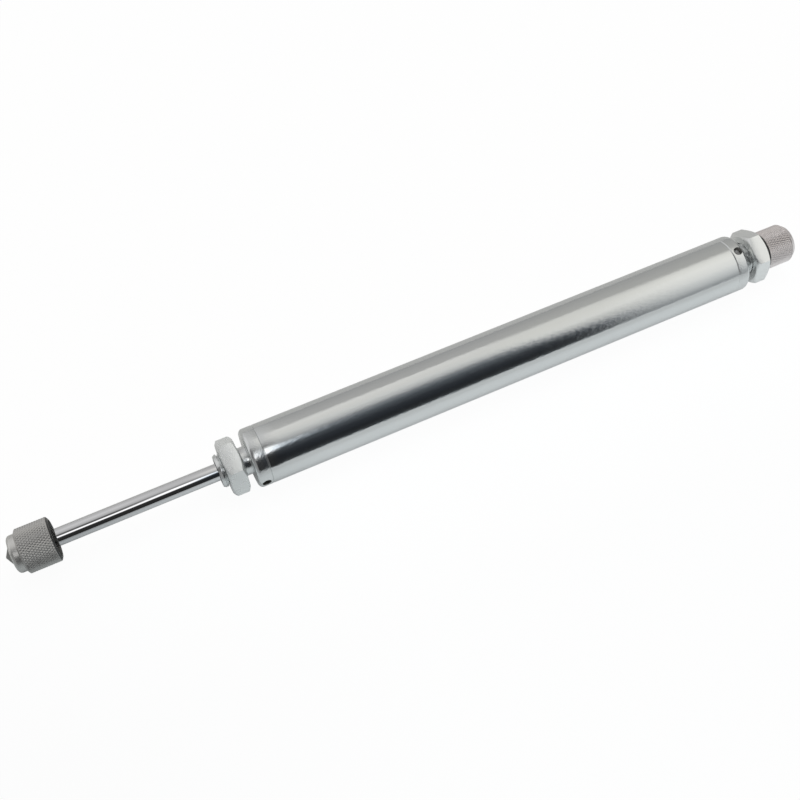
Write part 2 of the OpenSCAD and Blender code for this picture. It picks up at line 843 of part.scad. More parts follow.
// Spindle from the knob to the needle, held by its collar in the rear cap.
module adjusting_spindle() {
    tip_r = spindle_tip_diameter / 2;
    shaft_r = spindle_shaft_diameter / 2;
    knob_seat_x = knob_x + knob_bore_depth;
    color("lightgray")
        turned()
            polygon([
                [0, spindle_tip_x],
                [tip_r - edge, spindle_tip_x],
                [tip_r, spindle_tip_x + edge],
                [tip_r, spindle_shaft_x],
                [shaft_r, spindle_shaft_x],
                [shaft_r, collar_x],
                [collar_diameter / 2, collar_x],
                [collar_diameter / 2, collar_end_x],
                [spindle_r, collar_end_x],
                [spindle_r, spindle_groove_x],
                [spindle_groove_r, spindle_groove_x],
                [spindle_groove_r, spindle_groove_x + o_ring_width],
                [spindle_r, spindle_groove_x + o_ring_width],
                [spindle_r, knob_seat_x],
                [0, knob_seat_x]
            ]);
}

module spindle_o_ring() {
    color("dimgray")
        squeezed_ring(spindle_groove_x, spindle_r + running_clearance / 2, spindle_groove_r);
}

// Ring pressed into the rear cap to keep the spindle's collar in place.
module spindle_retainer() {
    color("slategray")
        ring(retainer_x, retainer_end_x, counterbore_r, spindle_shaft_diameter / 2 + 0.3);
}

// Knurled adjusting knob.
module adjusting_knob() {
    color("rosybrown")
        difference() {
            turned()
                polygon([
                    [0, knob_x],
                    [knob_r - edge, knob_x],
                    [knob_r, knob_x + edge],
                    [knob_r, knob_end_x - knob_chamfer_length],
                    [knob_r - knob_chamfer_depth, knob_end_x],
                    [0, knob_end_x]
                ]);
            ring(knob_x - 1, knob_x + knob_bore_depth, spindle_r);
            radial_hole(set_screw_x, -90, set_screw_diameter, 0, knob_r + 1);
        }
}

// Socket set screw that grips the spindle, on the underside of the knob.
module knob_set_screw() {
    socket = set_screw_diameter / 2;
    color("dimgray")
        difference() {
            radial_hole(
                set_screw_x, -90, set_screw_diameter, spindle_r, spindle_r + set_screw_length
            );
            at_angle(-90)
                translate([set_screw_x, -spindle_r - set_screw_length + socket, 0])
                    rotate([90, 0, 0]) cylinder(d = socket / cos(30), h = socket + 1, $fn = 6);
        }
}

// Thin hexagon nut with both faces chamfered.
module lock_nut(x, angle) {
    corner_r = nut_across_flats / 2 / cos(30);
    face_r = nut_across_flats / 2 * 0.96;
    drop = (corner_r + 1 - face_r) * tan(nut_chamfer_angle);
    thread_r = neck_r + nut_clearance;
    color("gainsboro")
        difference() {
            intersection() {
                hex_bar(x, x + nut_height, nut_across_flats, angle);
                turned()
                    polygon([
                        [0, x],
                        [face_r, x],
                        [corner_r + 1, x + drop],
                        [corner_r + 1, x + nut_height - drop],
                        [face_r, x + nut_height],
                        [0, x + nut_height]
                    ]);
            }
            turned()
                polygon([
                    [0, x - 1],
                    [thread_r + nut_countersink + 1, x - 1],
                    [thread_r, x + nut_countersink],
                    [thread_r, x + nut_height - nut_countersink],
                    [thread_r + nut_countersink + 1, x + nut_height + 1],
                    [0, x + nut_height + 1]
                ]);
        }
}

module front_lock_nut() {
    lock_nut(-front_nut_gap - nut_height, front_nut_angle);
}

module rear_lock_nut() {
    lock_nut(body_length + rear_nut_gap, rear_nut_angle);
}

cylinder_tube();
front_cap();
rear_cap();
front_cap_o_ring();
rear_cap_o_ring();
rod_wiper();
rod_guide_bush();
rod_seal();
seal_washer();
pressure_tube();
valve_body();
retaining_ring();
key_pin();
accumulator_foam();
piston_rod();
striker_core();
knurled_sleeve();
stop_tube();
piston();
piston_ring();
check_plate();
check_spring();
piston_nut();
return_spring();
metering_needle();
adjusting_spindle();
spindle_o_ring();
spindle_retainer();
adjusting_knob();
knob_set_screw();
front_lock_nut();
rear_lock_nut();
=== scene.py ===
"""Adjustable hydraulic shock absorber: plated cylinder, chromed rod, knurled striker and knob."""

import json
import math

import bmesh
import bpy
from mathutils import Matrix, Vector

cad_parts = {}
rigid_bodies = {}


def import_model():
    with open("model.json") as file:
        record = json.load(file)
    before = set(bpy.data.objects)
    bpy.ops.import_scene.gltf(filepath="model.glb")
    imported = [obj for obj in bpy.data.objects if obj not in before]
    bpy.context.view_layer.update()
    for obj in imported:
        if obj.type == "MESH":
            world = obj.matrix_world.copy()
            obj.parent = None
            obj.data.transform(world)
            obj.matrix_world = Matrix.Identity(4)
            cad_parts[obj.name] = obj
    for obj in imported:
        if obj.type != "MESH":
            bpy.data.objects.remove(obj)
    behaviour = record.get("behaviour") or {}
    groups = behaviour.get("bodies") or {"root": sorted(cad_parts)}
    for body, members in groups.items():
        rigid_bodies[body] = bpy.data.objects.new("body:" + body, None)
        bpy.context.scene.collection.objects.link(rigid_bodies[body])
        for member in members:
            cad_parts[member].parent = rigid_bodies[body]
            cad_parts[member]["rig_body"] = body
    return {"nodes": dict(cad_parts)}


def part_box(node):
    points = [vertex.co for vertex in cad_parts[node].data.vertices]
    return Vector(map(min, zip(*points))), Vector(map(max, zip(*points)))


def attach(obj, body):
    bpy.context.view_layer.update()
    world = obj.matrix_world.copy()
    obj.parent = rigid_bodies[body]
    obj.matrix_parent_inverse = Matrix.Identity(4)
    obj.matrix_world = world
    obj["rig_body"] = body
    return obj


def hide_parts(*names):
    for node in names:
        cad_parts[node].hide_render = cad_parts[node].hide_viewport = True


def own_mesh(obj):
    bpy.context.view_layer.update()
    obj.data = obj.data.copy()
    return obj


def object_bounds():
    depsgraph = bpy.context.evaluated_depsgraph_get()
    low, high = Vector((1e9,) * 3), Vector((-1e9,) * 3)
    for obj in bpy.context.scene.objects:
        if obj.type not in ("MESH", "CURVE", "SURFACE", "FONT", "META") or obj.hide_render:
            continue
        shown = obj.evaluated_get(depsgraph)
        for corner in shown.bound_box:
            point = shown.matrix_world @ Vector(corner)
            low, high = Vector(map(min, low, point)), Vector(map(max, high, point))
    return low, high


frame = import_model()
cad_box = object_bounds()
nodes = frame["nodes"]
mm = 0.001


# Seals and wiper: black nitrile rubber rings in the caps, the rod guide and the spindle bore.
# They are moulded and have a satin skin.

def feed(tree, socket, value):
    """Links a socket to another one, or sets it to a plain value."""
    if isinstance(value, bpy.types.NodeSocket):
        tree.links.new(value, socket)
    else:
        socket.default_value = value


def add(tree, kind, **values):
    """A new node; values go to its sockets by name."""
    made = tree.nodes.new(kind)
    for name, value in values.items():
        feed(tree, made.inputs[name.replace("_", " ").title()], value)
    return made


def math_node(tree, operation, first, second):
    """A Math node whose two inputs are sockets or numbers."""
    made = tree.nodes.new("ShaderNodeMath")
    made.operation = operation
    for socket, value in zip(made.inputs, (first, second)):
        feed(tree, socket, value)
    return made.outputs[0]


def blend_colours(tree, kind, share, first, second):
    """A Mix node for two colours."""
    made = tree.nodes.new("ShaderNodeMix")
    made.data_type = "RGBA"
    made.blend_type = kind
    # its number and colour sockets share their names, so they are taken by place
    for place, value in ((0, share), (6, first), (7, second)):
        feed(tree, made.inputs[place], value)
    return made.outputs[2]


def new_group(name, inputs, outputs):
    """A shader node group with number inputs {name: default} and named outputs."""
    tree = bpy.data.node_groups.new(name, "ShaderNodeTree")
    for label, default in inputs.items():
        socket = tree.interface.new_socket(label, in_out="INPUT", socket_type="NodeSocketFloat")
        socket.default_value = default
    for label in outputs:
        tree.interface.new_socket(label, in_out="OUTPUT", socket_type="NodeSocketFloat")
    return tree, tree.nodes.new("NodeGroupInput").outputs, tree.nodes.new("NodeGroupOutput").inputs


def use_group(tree, group, **values):
    """One place where a material uses a group, with its own values."""
    placed = tree.nodes.new("ShaderNodeGroup")
    placed.node_tree = group
    for label, value in values.items():
        placed.inputs[label].default_value = value
    return placed.outputs


mottle, given, out = new_group("mottle", {"Size": 1.0, "Detail": 3.0, "Stretch": 1.0}, ["Mask"])
place = add(mottle, "ShaderNodeTexCoord").outputs["Object"]
# Stretch makes the patches longer along X
shrink = add(mottle, "ShaderNodeCombineXYZ", x=math_node(mottle, "DIVIDE", 1.0, given["Stretch"]),
             y=1.0, z=1.0)
scaled = mottle.nodes.new("ShaderNodeVectorMath")
scaled.operation = "MULTIPLY"
mottle.links.new(place, scaled.inputs[0])
mottle.links.new(shrink.outputs["Vector"], scaled.inputs[1])
place = scaled.outputs["Vector"]
# Size is the patch size in millimetres; the texture's scale counts patches in a metre
per_metre = math_node(mottle, "DIVIDE", 1000.0, given["Size"])
cloud = add(mottle, "ShaderNodeTexNoise", vector=place, scale=per_metre, detail=given["Detail"],
            roughness=0.55)
mottle.links.new(cloud.outputs["Fac"], out["Mask"])


def new_material(name, base, roughness, metallic=1.0, spread=0.0, patch=2.0, tone=0.0, bump=0.0):
    """A surface whose roughness and tone drift over patches of a size in millimetres."""
    material = bpy.data.materials.new(name)
    material.use_nodes = True
    tree = material.node_tree
    shader = tree.nodes["Principled BSDF"]
    shader.inputs["Metallic"].default_value = metallic
    drift = use_group(tree, mottle, Size=patch)["Mask"]
    rough = add(tree, "ShaderNodeMapRange", value=drift, to_min=roughness - spread,
                to_max=roughness + spread)
    tree.links.new(rough.outputs["Result"], shader.inputs["Roughness"])
    darker, lighter = ((*[min(1, c * factor) for c in base], 1) for factor in (1 - tone, 1 + tone))
    colour = blend_colours(tree, "MIX", drift, darker, lighter)
    tree.links.new(colour, shader.inputs["Base Color"])
    if bump:
        raised = add(tree, "ShaderNodeBump", height=drift, strength=bump, distance=0.0001)
        tree.links.new(raised.outputs["Normal"], shader.inputs["Normal"])
    return material


def finish_node(name, material):
    """Gives a solid of the frame its finish."""
    piece = nodes[name]
    piece.data.materials.clear()
    piece.data.materials.append(material)


nitrile = new_material("nitrile", (0.022, 0.022, 0.024), 0.5, 0, spread=0.12, patch=1.5,
                       tone=0.25, bump=0.3)
for name in ("front_cap_o_ring", "rear_cap_o_ring", "rod_wiper", "rod_seal", "spindle_o_ring"):
    finish_node(name, nitrile)


# Turned steel inside the cylinder: pressure tube, valve body, piston and their small parts.
# They are free cutting steel off a lathe, with fine tool marks under a thin film of oil.

tool_marks, given, out = new_group("tool_marks", {"Pitch": 0.2, "Wander": 0.3}, ["Height"])
place = add(tool_marks, "ShaderNodeTexCoord").outputs["Object"]
# marks run around the X axis, so the pattern changes along X and hardly across it
squeezed = add(tool_marks, "ShaderNodeMapping", vector=place, scale=(1000, 20, 20))
rings = add(tool_marks, "ShaderNodeTexNoise", vector=squeezed.outputs["Vector"], detail=4.0,
            scale=math_node(tool_marks, "DIVIDE", 1.0, given["Pitch"]), distortion=given["Wander"])
tool_marks.links.new(rings.outputs["Fac"], out["Height"])


def add_bump(material, height, depth):
    """Bumps a surface by a mask, on top of the bumps it has."""
    tree = material.node_tree
    raised = add(tree, "ShaderNodeBump", height=height, strength=1.0, distance=depth * mm)
    below = tree.nodes["Principled BSDF"].inputs["Normal"]
    if below.is_linked:
        tree.links.new(below.links[0].from_socket, raised.inputs["Normal"])
    tree.links.new(raised.outputs["Normal"], below)


def add_tool_marks(material, pitch, depth):
    """Fine rings around the axis, as a lathe or a polishing belt leaves them."""
    add_bump(material, use_group(material.node_tree, tool_marks, Pitch=pitch)["Height"], depth)


turned_steel = new_material("turned_steel", (0.50, 0.51, 0.52), 0.3, spread=0.08, patch=3,
                            tone=0.05)
add_tool_marks(turned_steel, 0.15, 0.004)
for name in ("pressure_tube", "valve_body", "piston", "piston_nut", "stop_tube", "seal_washer",
             "key_pin", "adjusting_spindle", "spindle_retainer"):
    finish_node(name, turned_steel)


# Rod guide bush and metering needle: bronze and brass, bored and turned to a fine finish.
# The bush guides the rod in the front cap, the needle sits on the thread of the spindle's tip.

bronze = new_material("bronze", (0.60, 0.40, 0.19), 0.28, spread=0.1, patch=2, tone=0.08)
add_tool_marks(bronze, 0.12, 0.003)
for name in ("rod_guide_bush", "metering_needle"):
    finish_node(name, bronze)


# Piston ring: a slide ring of filled plastic, in a groove of the piston.
# Accumulator: a sleeve of closed cell foam that takes up the oil which the rod displaces.

slide_plastic = new_material("slide_plastic", (0.62, 0.56, 0.42), 0.45, 0, spread=0.05, patch=2,
                             tone=0.06)
finish_node("piston_ring", slide_plastic)
foam = new_material("foam", (0.09, 0.09, 0.10), 0.85, 0, spread=0.1, patch=0.8, tone=0.3, bump=1.0)
finish_node("accumulator_foam", foam)


# Springs, check plate and retaining ring: blued spring steel. The set screw has the same finish.
# Both springs are wound with closed ends.

def plain_object(name, bm, material=None):
    """An object from a mesh that was being built."""
    bmesh.ops.recalc_face_normals(bm, faces=bm.faces)
    mesh = bpy.data.meshes.new(name)
    bm.to_mesh(mesh)
    bm.free()
    if material:
        mesh.materials.append(material)
    made = bpy.data.objects.new(name, mesh)
    bpy.context.scene.collection.objects.link(made)
    return made


def to_object(name, bm, material, body, sharp=35):
    """Makes the piece from its mesh, smooth apart from edges sharper than the given angle."""
    piece = plain_object(name, bm, material)
    piece.data.shade_smooth()
    piece.data.set_sharp_from_angle(angle=math.radians(sharp))
    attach(piece, body)
    return piece


def around_x(x, radius, angle):
    """A point at a radius from the X axis; lengths are in millimetres."""
    return Vector((x, radius * math.cos(angle), radius * math.sin(angle))) * mm


def grid_faces(bm, rows, closed_rows, closed_columns):
    """Joins rows of points to quads, wrapping round where a direction is closed."""
    count = len(rows[0])
    for i in range(len(rows) if closed_rows else len(rows) - 1):
        for j in range(count if closed_columns else count - 1):
            corners = [rows[i][j], rows[i][(j + 1) % count],
                       rows[(i + 1) % len(rows)][(j + 1) % count], rows[(i + 1) % len(rows)][j]]
            bm.faces.new(corners)


def wound_spring(name, start, end, mean_radius, wire, turns, material):
    """Round wire wound about X between two seats, with one flat turn at each end."""
    steps, sides = 32, 12
    length = end - start - wire
    lead = (length - 2 * wire) / (turns - 2)
    bm = bmesh.new()
    rows = []
    for i in range(int(turns * steps) + 1):
        turn = i / steps
        if turn < 1:
            along = wire * turn
        elif turn > turns - 1:
            along = length - wire * (turns - turn)
        else:
            along = wire + lead * (turn - 1)
        row = []
        for k in range(sides):
            section = 2 * math.pi * k / sides
            x = start + wire / 2 + along + wire / 2 * math.sin(section)
            radius = mean_radius + wire / 2 * math.cos(section)
            row.append(bm.verts.new(around_x(x, radius, 2 * math.pi * turn)))
        rows.append(row)
    grid_faces(bm, rows, False, True)
    bm.faces.new(rows[0])
    bm.faces.new(rows[-1])
    return to_object(name + "_wire", bm, material, nodes[name]["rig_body"])


spring_steel = new_material("spring_steel", (0.30, 0.31, 0.33), 0.32, spread=0.08, patch=4,
                            tone=0.1)
for name in ("check_plate", "retaining_ring", "knob_set_screw"):
    finish_node(name, spring_steel)

for name, wire, turns, joint, keep in (
        ("return_spring", 1.2, 28, "rod_slide", 0.33),
        ("check_spring", 0.6, 3.5, "check_plate_lift", 0.69)):
    low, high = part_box(name)
    coil = wound_spring(name, low.x / mm, high.x / mm, high.y / mm - wire / 2, wire, turns,
                        spring_steel)
    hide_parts(name)
    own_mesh(coil)


# Cylinder tube: seamless steel tube, polished along its length on a belt and bright zinc plated.
# The plated skin is slightly rippled, so narrow lights break up on it.

def rounded(points, steps=5):
    """The outline with each corner (x, radius, rounding) turned into a small arc."""
    outline = []
    for i, (x, r, *extra) in enumerate(points):
        rounding = extra[0] if extra else 0
        here = Vector((x, r))
        before = Vector(points[i - 1][:2]) - here
        after = Vector(points[(i + 1) % len(points)][:2]) - here
        if not rounding or before.length < 1e-9 or after.length < 1e-9:
            outline.append(tuple(here))
            continue
        half = before.angle(after) / 2
        reach = min(rounding / math.tan(half), before.length / 2, after.length / 2)
        size = reach * math.tan(half)
        start, end = here + before.normalized() * reach, here + after.normalized() * reach
        inward = (before.normalized() + after.normalized()).normalized()
        centre = here + inward * (size / math.sin(half))
        for k in range(steps + 1):
            on_chord = start.lerp(end, k / steps) - centre
            outline.append(tuple(centre + on_chord.normalized() * size))
    return outline


def finely(outline, low, high, step, inner):
    """Adds points to the stretches between two X places that lie outside an inner radius."""
    fine = []
    for i, (x, r) in enumerate(outline):
        fine.append((x, r))
        x2, r2 = outline[(i + 1) % len(outline)]
        if min(x, x2) >= low - 1e-6 and max(x, x2) <= high + 1e-6 and min(r, r2) > inner:
            count = math.ceil(abs(x2 - x) / step)
            fine += [(x + (x2 - x) * k / count, r + (r2 - r) * k / count) for k in range(1, count)]
    return fine


def turned(outline, around=192, limit=None):
    """A solid turned about X from a closed outline of (x, radius) in millimetres.
    limit(x, angle) can cut the surface back, as a thread or a knurl does."""
    bm = bmesh.new()
    rows = []
    for x, r in outline:
        row = []
        for k in range(around):
            angle = 2 * math.pi * k / around
            radius = min(r, limit(x, angle)) if limit else r
            row.append(bm.verts.new(around_x(x, radius, angle)))
        rows.append(row)
    grid_faces(bm, rows, True, True)
    bmesh.ops.remove_doubles(bm, verts=bm.verts, dist=1e-7)
    bmesh.ops.dissolve_degenerate(bm, edges=bm.edges, dist=1e-8)
    return bm


def add_ripple(material, size, depth, stretch=1.0):
    """The shallow unevenness of plating over a drawn or ground surface."""
    waves = use_group(material.node_tree, mottle, Size=size, Detail=1.0, Stretch=stretch)["Mask"]
    add_bump(material, waves, depth)


tube_zinc = new_material("tube_plating", (0.785, 0.80, 0.80), 0.1, spread=0.03, patch=5, tone=0.02)
add_ripple(tube_zinc, 0.7, 0.024, stretch=4)
add_ripple(tube_zinc, 0.45, 0.008)

tube_low, tube_high = (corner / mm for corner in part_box("cylinder_tube"))
tube_radius = cad_box[1].y / mm
tube_wall = 3
bore = tube_radius - tube_wall
# the seam is a narrow chamfer where the tube meets a cap
seam = 0.3
thread_length, thread_depth = 10, 1
tube_outline = rounded([
    (tube_low.x, tube_radius - seam, 0.05),
    (tube_low.x + seam, tube_radius, 0.1),
    (tube_high.x - seam, tube_radius, 0.1),
    (tube_high.x, tube_radius - seam, 0.05),
    (tube_high.x, bore + thread_depth),
    (tube_high.x - thread_length, bore + thread_depth),
    (tube_high.x - thread_length, bore),
    (tube_low.x + thread_length, bore),
    (tube_low.x + thread_length, bore + thread_depth),
    (tube_low.x, bore + thread_depth),
])
tube_outline = finely(tube_outline, tube_low.x, tube_high.x, 8, bore + thread_depth)
tube = to_object("plated_tube", turned(tube_outline), tube_zinc, "cylinder")
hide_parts("cylinder_tube")


# Caps: turned from bar, screwed into the tube, with a threaded neck, an undercut and a shoulder.
# Two blind holes in each head take a pin spanner. Zinc plated after machining.

zinc = new_material("zinc_plating", (0.785, 0.80, 0.80), 0.2, spread=0.04, patch=4, tone=0.02)
add_tool_marks(zinc, 0.1, 0.0006)
add_ripple(zinc, 0.8, 0.05)
# a dark steel for hole walls, which paints shade inside the front spanner holes and the knob's set
# screw hole
painted_hole_shade = new_material("painted_hole_shade", (0.30, 0.30, 0.28), 0.45, spread=0.1, patch=1, tone=0.2)
bored_steel = new_material("bored_steel", (0.50, 0.50, 0.49), 0.38, spread=0.06, patch=1, tone=0.1)

thread_pitch, thread_cut = 1.5, 0.92
crest_radius = 7.85
crest_share, root_share = 0.16, 0.14


def thread_limit(start, end):
    """How far the cut thread lets the surface reach, between two X places."""
    def limit(x, angle):
        if not start <= x <= end:
            return math.inf
        phase = (x / thread_pitch - angle / (2 * math.pi)) % 1
        from_crest = abs(2 * phase - 1)
        cut = (1 - from_crest - crest_share) / (1 - crest_share - root_share)
        return crest_radius - thread_cut * min(1, max(0, cut))
    return limit


def boolean(piece, operation, shape):
    """A cut of a piece with another shape."""
    cut = piece.modifiers.new("cut", "BOOLEAN")
    cut.operation = operation
    cut.solver = "EXACT"
    cut.object = shape
    return cut


def apply_cuts(piece, shapes):
    """Turns a piece's modifiers into its mesh and deletes the shapes they used."""
    graph = bpy.context.evaluated_depsgraph_get()
    piece.data = bpy.data.meshes.new_from_object(piece.evaluated_get(graph))
    piece.modifiers.clear()
    for shape in shapes:
        bpy.data.objects.remove(shape)


def bore_out(piece, *drills):
    """Drills holes in a finished piece; a hole's wall keeps its own material."""
    for shape in drills:
        boolean(piece, "DIFFERENCE", shape).material_mode = "TRANSFER"
    apply_cuts(piece, drills)
    piece.data.set_sharp_from_angle(angle=math.radians(35))


def drill(x, angle, radius, floor, top, finish):
    """A drilled hole with its point, along the radius at an angle from -Y towards +Z."""
    edge_width, edge_depth, beyond, sides = 0.2, 0.25, 2, 48
    profile = [(0, floor - radius / 2), (radius, floor), (radius, top - edge_depth),
               (radius + edge_width, top), (radius + edge_width, top + beyond), (0, top + beyond)]
    turns = [2 * math.pi * k / sides for k in range(sides)]
    bm = bmesh.new()
    rows = []
    for r, height in profile:
        rows.append([bm.verts.new(Vector((r * math.cos(turn), r * math.sin(turn), height)) * mm)
                     for turn in turns])
    grid_faces(bm, rows, False, True)
    bmesh.ops.remove_doubles(bm, verts=bm.verts, dist=1e-7)
    # the hole is drawn along +Z; it turns about X to its angle and moves to its place
    turned_to = Matrix.Rotation(math.radians(90 - angle), 4, "X")
    place = Matrix.Translation((x * mm, 0, 0)) @ turned_to
    bmesh.ops.transform(bm, matrix=place, verts=bm.verts)
    return plain_object("drill", bm, finish)


head_length = 6.6
spigot_length = 15
neck_radius = 8
undercut_radius, undercut_length = 6.625, 3
hole_radius, hole_depth = 2.05, 3
# the thread starts behind a plain lead and is drawn in steps that show its grooves
lead_in, thread_step = 1.5, 0.12


def cap_outline(neck, bore_steps):
    """A cap with its shoulder at X = 0 and its neck towards -X.
    bore_steps are (x, radius) from the neck in."""
    spigot_end = head_length + spigot_length
    outside = [
        (-neck, neck_radius - 0.8, 0.1),
        (-neck + 1.2, crest_radius),
        (-undercut_length - 0.75, crest_radius),
        (-undercut_length, undercut_radius, 0.3),
        (0, undercut_radius, 0.25),
        (0, tube_radius, 2),
        (head_length - seam, tube_radius, 0.1),
        (head_length, tube_radius - seam, 0.05),
        (head_length, bore + thread_depth),
        (head_length + thread_length, bore + thread_depth),
        (head_length + thread_length, bore),
        (spigot_end, bore),
    ]
    outline = rounded(outside + [(x, r) for x, r in reversed(bore_steps)])
    return finely(outline, -neck, -undercut_length - 0.7, thread_step, undercut_radius + 0.3)


def spanner_holes(x, angle, finish):
    """Two blind holes on opposite sides of a cap's head."""
    return [drill(x, angle + turn, hole_radius, tube_radius - hole_depth, tube_radius, finish)
            for turn in (0, 180)]


front_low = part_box("front_cap")[0] / mm
front_neck = -front_low.x
wiper_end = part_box("rod_wiper")[1].x / mm
bush_start, seal_start, washer_start = (
    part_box(part)[0].x / mm for part in ("rod_guide_bush", "rod_seal", "seal_washer"))
front_bore = [(-front_neck, 6), (wiper_end, 6), (wiper_end, 4.3), (bush_start, 4.3), (bush_start, 5),
              (seal_start, 5), (seal_start, 7), (washer_start, 7), (washer_start, 8.5),
              (head_length + spigot_length, 8.5)]
front_bm = turned(cap_outline(front_neck, front_bore),
                  limit=thread_limit(-front_neck + lead_in, -undercut_length))
front = to_object("front_cap_turned", front_bm, zinc, "cylinder")
# the front spanner holes get dark walls, a painted shade in the holes
bore_out(front, *spanner_holes(head_length / 2, -3.5, painted_hole_shade))
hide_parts("front_cap")

rear_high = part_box("rear_cap")[1] / mm
rear_shoulder = tube_high.x + head_length
rear_neck = rear_high.x - rear_shoulder
rear_bore = [(-rear_neck, 3.03), (12.6, 3.03), (12.6, 6), (head_length + spigot_length, 6)]
# the rear cap is the same shape turned end for end
rear_bm = turned([(rear_shoulder - x, r) for x, r in cap_outline(rear_neck, rear_bore)],
                 limit=thread_limit(rear_shoulder + undercut_length, rear_high.x - lead_in))
rear = to_object("rear_cap_turned", rear_bm, zinc, "cylinder")
bore_out(rear, *spanner_holes(rear_shoulder - head_length / 2, 79.9, bored_steel))
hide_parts("rear_cap")


# Lock nuts: thin hexagon nuts, 24 mm across flats, chamfered on both sides and zinc plated.
# They are screwed onto the necks of the caps. The front one has the paler, duller plating.

def lock_nut(name, corner_angle, material):
    """A chamfered hexagon with rounded edges, one corner at an angle from -Y towards +Z."""
    low, high = (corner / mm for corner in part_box(name))
    # a hair thinner than its seat, so that it does not touch the shoulder when run up to it
    low.x, high.x = low.x + 0.02, high.x - 0.02
    flats, chamfer = 24, math.tan(math.radians(30))
    corner = flats / math.sqrt(3)
    bm = bmesh.new()
    rows = []
    for x in (low.x, high.x):
        angles = [math.radians(180 - corner_angle + 60 * k) for k in range(6)]
        rows.append([bm.verts.new(around_x(x, corner, angle)) for angle in angles])
    grid_faces(bm, rows, False, True)
    bm.faces.new(rows[0])
    bm.faces.new(rows[1])
    piece = to_object(name + "_plated", bm, material, nodes[name]["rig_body"])
    # a turned lens with a bore, which leaves the chamfers when the hexagon is cut to it
    washer_radius = flats / 2 - 0.4
    reach = corner + 1
    rise = (reach - washer_radius) * chamfer
    hole, hole_edge = neck_radius + 0.03, 0.6
    lens = plain_object("lens", turned([
        (low.x, washer_radius),
        (low.x + rise, reach),
        (high.x - rise, reach),
        (high.x, washer_radius),
        (high.x, hole + hole_edge),
        (high.x - hole_edge, hole),
        (low.x + hole_edge, hole),
        (low.x, hole + hole_edge),
    ]))
    boolean(piece, "INTERSECT", lens)
    soft = piece.modifiers.new("edges", "BEVEL")
    soft.width = 0.3 * mm
    soft.segments = 3
    soft.limit_method = "ANGLE"
    soft.angle_limit = math.radians(25)
    apply_cuts(piece, [lens])
    piece.data.shade_smooth()
    piece.data.set_sharp_from_angle(angle=math.radians(30))
    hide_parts(name)


bright_nut = new_material("nut_plating", (0.89, 0.90, 0.895), 0.24, spread=0.04, patch=3, tone=0.03)
add_ripple(bright_nut, 1.5, 0.02)
pale_nut = new_material("nut_plating_milky", (0.91, 0.93, 0.925), 0.28, metallic=0.65, spread=0.04,
                        patch=3, tone=0.03)
add_ripple(pale_nut, 1.5, 0.02)
lock_nut("front_lock_nut", 47.5, pale_nut)
lock_nut("rear_lock_nut", 36.5, bright_nut)


# Piston rod: a ground and hard chromed bar of 8 mm.
# Its front end is screwed into the striker core, its rear end carries the piston.

chrome = new_material("hard_chrome", (0.80, 0.80, 0.81), 0.06, spread=0.02, patch=8, tone=0.01)
rod_low, rod_high = (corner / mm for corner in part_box("piston_rod"))
piston_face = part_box("piston")[0].x / mm
core_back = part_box("striker_core")[1].x / mm
rod_radius, striker_spigot, piston_spigot, end_chamfer = 4, 3, 2.5, 0.3
rod_outline = rounded([
    (rod_low.x, 0),
    (rod_low.x, 2.7),
    (rod_low.x + end_chamfer, striker_spigot),
    (core_back, striker_spigot),
    (core_back, rod_radius, 0.2),
    (piston_face, rod_radius, 0.2),
    (piston_face, piston_spigot),
    (rod_high.x - end_chamfer, piston_spigot),
    (rod_high.x, 2.2),
    (rod_high.x, 0),
])
rod = to_object("chromed_rod", turned(rod_outline, around=128), chrome, "rod")
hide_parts("piston_rod")


# Striker core: a steel boss with a blunt cone that meets the stop, screwed onto the rod.
# The cone is coloured darker than the boss.

striker_steel = new_material("striker_steel", (0.76, 0.75, 0.73), 0.36, spread=0.06, patch=2,
                             tone=0.05)
add_tool_marks(striker_steel, 0.25, 0.006)
tip_steel = new_material("tip_steel", (0.24, 0.24, 0.23), 0.42, spread=0.06, patch=1.5, tone=0.1)
core_low, core_high = (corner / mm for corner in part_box("striker_core"))
core_radius = 8.6
cone_radius, cone_half_angle = 5.2, 62.5
boss_face = core_low.x + cone_radius / math.tan(math.radians(cone_half_angle))
core_outline = rounded([
    (core_low.x, 0),
    (core_low.x, 0.3, 0.3),
    (boss_face, cone_radius, 0.2),
    (boss_face, core_radius, 3),
    (core_high.x, core_radius),
    (core_high.x, striker_spigot),
    (rod_low.x, striker_spigot),
    (rod_low.x, 0),
])
core = to_object("striker_boss", turned(core_outline), striker_steel, "rod",
                 sharp=25)
core.data.materials.append(tip_steel)
for face in core.data.polygons:
    if face.center.x < (boss_face - 0.05) * mm:
        face.material_index = 1
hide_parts("striker_core")


# Striker sleeve: a steel ring with a 30 degree diamond knurl, pressed over the core.
# Its back is bored out, so it can pass over the front neck. The rim's chamfer is painted dark as the
# shade in the recess, and the recess and the flat of the rim are brighter.

def knurl_limit(radius, teeth, depth, start, end, cross=1.0):
    """A diamond knurl: two sets of V grooves at 30 degrees to the axis, with slightly blunt points.
    cross is the depth of the second set as a share of the first."""
    pitch_around = 2 * math.pi * radius / teeth
    pitch_along = pitch_around / math.tan(math.radians(30))
    blunt = 0.8

    def limit(x, angle):
        if not start <= x <= end:
            return math.inf
        around, along = teeth * angle / (2 * math.pi), x / pitch_along
        first, second = (1 - abs(2 * (phase % 1) - 1) for phase in (around - along, around + along))
        heights = (first, 1 - cross * (1 - second))
        return radius - depth * (1 - min(blunt, *heights) / blunt)
    return limit, pitch_along


knurled_steel = new_material("knurled_steel", (0.59, 0.58, 0.565), 0.34, spread=0.05, patch=1,
                             tone=0.06)
# a near black colour that paints shade: the shade in the sleeve's recess behind the rim, and the
# shade in the gap between knob and nut
painted_shade_steel = new_material("painted_shade_dark", (0.10, 0.10, 0.10), 0.4, spread=0.08, patch=1, tone=0.2)
sleeve_low, sleeve_high = (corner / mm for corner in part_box("knurled_sleeve"))
sleeve_radius, sleeve_teeth = 10.25, 53
chamfer_length, chamfer_depth = 0.8, 1.3
